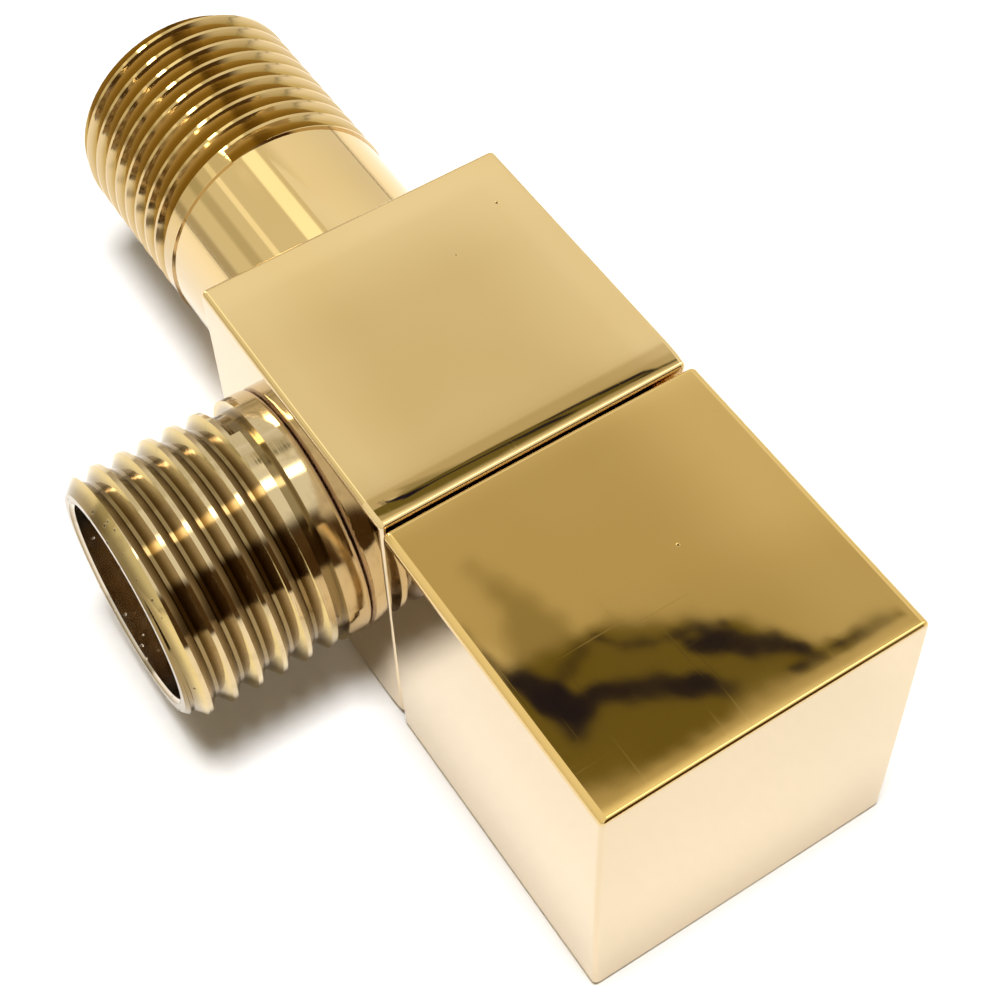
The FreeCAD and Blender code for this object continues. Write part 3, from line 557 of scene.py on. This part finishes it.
def make_card():
    """A large painted card above the table. The polished top faces mirror it to the camera."""
    counts = [int(round((b - a) / CARD_STEP)) for a, b in zip(CARD_FROM, CARD_TO)]
    xs = np.linspace(CARD_FROM.x, CARD_TO.x, counts[0] + 1)
    ys = np.linspace(CARD_FROM.y, CARD_TO.y, counts[1] + 1)
    grid_x, grid_y = (part.ravel() for part in np.meshgrid(xs, ys))
    eye_height = EYE.z - TOP_HEIGHT
    reach = (CARD_HEIGHT + eye_height) / eye_height
    card_x = EYE.x + (grid_x - EYE.x) * reach
    card_y = EYE.y + (grid_y - EYE.y) * reach
    card_z = np.full(card_x.shape, TOP_HEIGHT + CARD_HEIGHT)
    row = counts[0] + 1
    corners = [j * row + i for j in range(counts[1]) for i in range(counts[0])]
    faces = [(c, c + 1, c + 1 + row, c + row) for c in corners]
    mesh = bpy.data.meshes.new("painted_card")
    mesh.from_pydata(np.stack((card_x, card_y, card_z), 1).tolist(), [], faces)
    paint = mesh.color_attributes.new("paint", "FLOAT_COLOR", "POINT")
    picture = card_picture(grid_x / MM, grid_y / MM)
    rgba = np.concatenate((picture, np.ones((picture.shape[0], 1))), axis=1)
    paint.data.foreach_set("color", rgba.astype(np.float32).ravel())
    material = bpy.data.materials.new("painted_card")
    material.use_nodes = True
    tree = material.node_tree
    tree.nodes.remove(tree.nodes["Principled BSDF"])
    painted = add(tree, "Attribute", {}, "Color", attribute_name="paint")
    glow = add(tree, "Emission", {"Color": painted, "Strength": 1.0})
    feed(tree, tree.nodes["Material Output"].inputs["Surface"], glow)
    mesh.materials.append(material)
    card = bpy.data.objects.new("painted_card", mesh)
    bpy.context.scene.collection.objects.link(card)
    card.visible_camera = False
    card.visible_diffuse = False
    card.visible_shadow = False


# Parts of the room around the table: azimuth from +X and elevation in degrees, the angles
# where it starts and is full, its colour and its strength.
ROOM_PATCHES = (
    (14.0, 8.0, 48.0, 36.0, (0.09, 0.05, 0.018), 1.0),
    (48.0, 12.0, 24.0, 14.0, (0.85, 0.80, 0.66), 1.0),
    (166.0, 4.0, 24.0, 6.0, (0.55, 0.50, 0.42), 0.8),
)

# Long panels that run along the table at the inlet's end, seen in the round neck and thread:
# the angle up from +Y about the X axis, the half widths where each starts and is full, how far
# towards the end it starts, and its colour.
ROOM_PANELS = (
    (125.0, 62.0, 46.0, 0.5, (0.82, 0.79, 0.68)),
    (91.0, 9.0, 6.0, 0.5, (1.36, 1.40, 1.26)),
    (128.7, 3.6, 1.8, 0.5, (1.16, 1.14, 1.02)),
    (149.0, 8.0, 3.0, 0.5, (0.60, 0.57, 0.44)),
    (177.0, 8.5, 3.0, 0.5, (0.53, 0.49, 0.40)),
    (107.0, 6.0, 3.5, 0.664, (14.0, 13.0, 11.0)),
)

# One narrow panel runs across over the table. It lights a fine line along the outlet and the
# front edges: the angle from straight up towards +X, its half widths and its colour. It hangs on
# the +Y side only.
CROSS_PANEL = (1.0, 6.0, 3.0, (5.0, 4.9, 4.4))
CROSS_PANEL_START = (0.05, 0.15)
PANEL_END_FADE = 0.02

# The room from the horizon up, the light that it gives the floor, and what the camera sees.
ROOM_HORIZON = colour(0.88, 0.86, 0.82)
ROOM_ABOVE = colour(1.04, 1.03, 1.0)
ROOM_LIGHTING = colour(0.085, 0.065, 0.045)
ROOM_SEEN = colour(1.0, 1.0, 1.0)

SOFTBOX_PLACE = (0.12, -0.04, 0.9)
SOFTBOX_AIM = Vector((0.045, 0.0, FLOOR_HEIGHT))
SOFTBOX_SIZE = 0.28
SOFTBOX_WATTS = 10.6
TABLE_HALF_SIZE = 3.0


def add_panel(tree, room, around, angle, outer, inner, limit, tone):
    """Lays a long panel over the room, at an angle about the axis that it runs along."""
    gap = maths(tree, "ABSOLUTE", maths(tree, "SUBTRACT", around, angle))
    amount = maths(tree, "MULTIPLY", spread(tree, gap, inner, outer, 1.0, 0.0), limit)
    return mix(tree, amount, room, colour(*tone))


def make_world():
    """The bright room round the table, with its darker and brighter parts."""
    world = bpy.data.worlds.new("studio")
    bpy.context.scene.world = world
    world.use_nodes = True
    tree = world.node_tree
    direction = add(tree, "TexCoord", {}, "Generated")
    height = split(tree, direction)[2]
    room = mix(tree, spread(tree, height, 0.0, 0.85), ROOM_HORIZON, ROOM_ABOVE)
    for azimuth, elevation, outer, inner, tone, strength in ROOM_PATCHES:
        a, e = math.radians(azimuth), math.radians(elevation)
        towards = (math.cos(a) * math.cos(e), math.sin(a) * math.cos(e), math.sin(e))
        nearness = vector_maths(tree, "DOT_PRODUCT", direction, towards, output="Value")
        low, high = (math.cos(math.radians(angle)) for angle in (outer, inner))
        amount = spread(tree, nearness, low, high, 0.0, strength)
        room = mix(tree, amount, room, colour(*tone))
    x, y, z = split(tree, direction)
    around = maths(tree, "MULTIPLY", maths(tree, "ARCTAN2", z, y), 180.0 / math.pi)
    for angle, outer, inner, start, tone in ROOM_PANELS:
        limit = spread(tree, x, -start, -start - PANEL_END_FADE)
        room = add_panel(tree, room, around, angle, outer, inner, limit, tone)
    across = maths(tree, "MULTIPLY", maths(tree, "ARCTAN2", x, z), 180.0 / math.pi)
    angle, outer, inner, tone = CROSS_PANEL
    limit = spread(tree, y, *CROSS_PANEL_START)
    room = add_panel(tree, room, across, angle, outer, inner, limit, tone)
    seen = add(tree, "LightPath", {}, "Is Camera Ray")
    lighting = add(tree, "LightPath", {}, "Is Diffuse Ray")
    room = mix(tree, lighting, room, ROOM_LIGHTING)
    room = mix(tree, seen, room, ROOM_SEEN)
    feed(tree, tree.nodes["Background"].inputs["Color"], room)


def make_softbox():
    """A square softbox over the table, which lights it but isn't mirrored in the plating."""
    light = bpy.data.lights.new("overhead_softbox", "AREA")
    light.size = SOFTBOX_SIZE
    light.energy = SOFTBOX_WATTS
    softbox = bpy.data.objects.new("overhead_softbox", light)
    bpy.context.scene.collection.objects.link(softbox)
    softbox.location = SOFTBOX_PLACE
    softbox.rotation_mode = "QUATERNION"
    aim = SOFTBOX_AIM - softbox.location
    softbox.rotation_quaternion = aim.to_track_quat("-Z", "Y")
    softbox.visible_glossy = False


def make_floor():
    """A plain white table top."""
    signs = ((-1, -1), (1, -1), (1, 1), (-1, 1))
    corners = [(x * TABLE_HALF_SIZE, y * TABLE_HALF_SIZE, FLOOR_HEIGHT) for x, y in signs]
    mesh = bpy.data.meshes.new("table_top")
    mesh.from_pydata(corners, [], [(0, 1, 2, 3)])
    material, tree, shader = new_material("table_white", Metallic=0.0, Specular_IOR_Level=0.2)
    position = place(tree)
    grain = noise(tree, position, 900.0, 3.0)
    base = mix(tree, grain, *TABLE_WHITE)
    roughness = spread(tree, grain, 0.0, 1.0, 0.6, 0.75)
    finish_shader(tree, shader, base, roughness, bump(tree, grain, 8 * MICRON))
    mesh.materials.append(material)
    floor = bpy.data.objects.new("table_top", mesh)
    bpy.context.scene.collection.objects.link(floor)


make_camera()
dress_all()
make_card()
make_world()
make_softbox()
make_floor()

bpy.context.scene.view_settings.view_transform = "Standard"
bpy.context.scene.cycles.max_bounces = 16
bpy.context.scene.cycles.glossy_bounces = 12
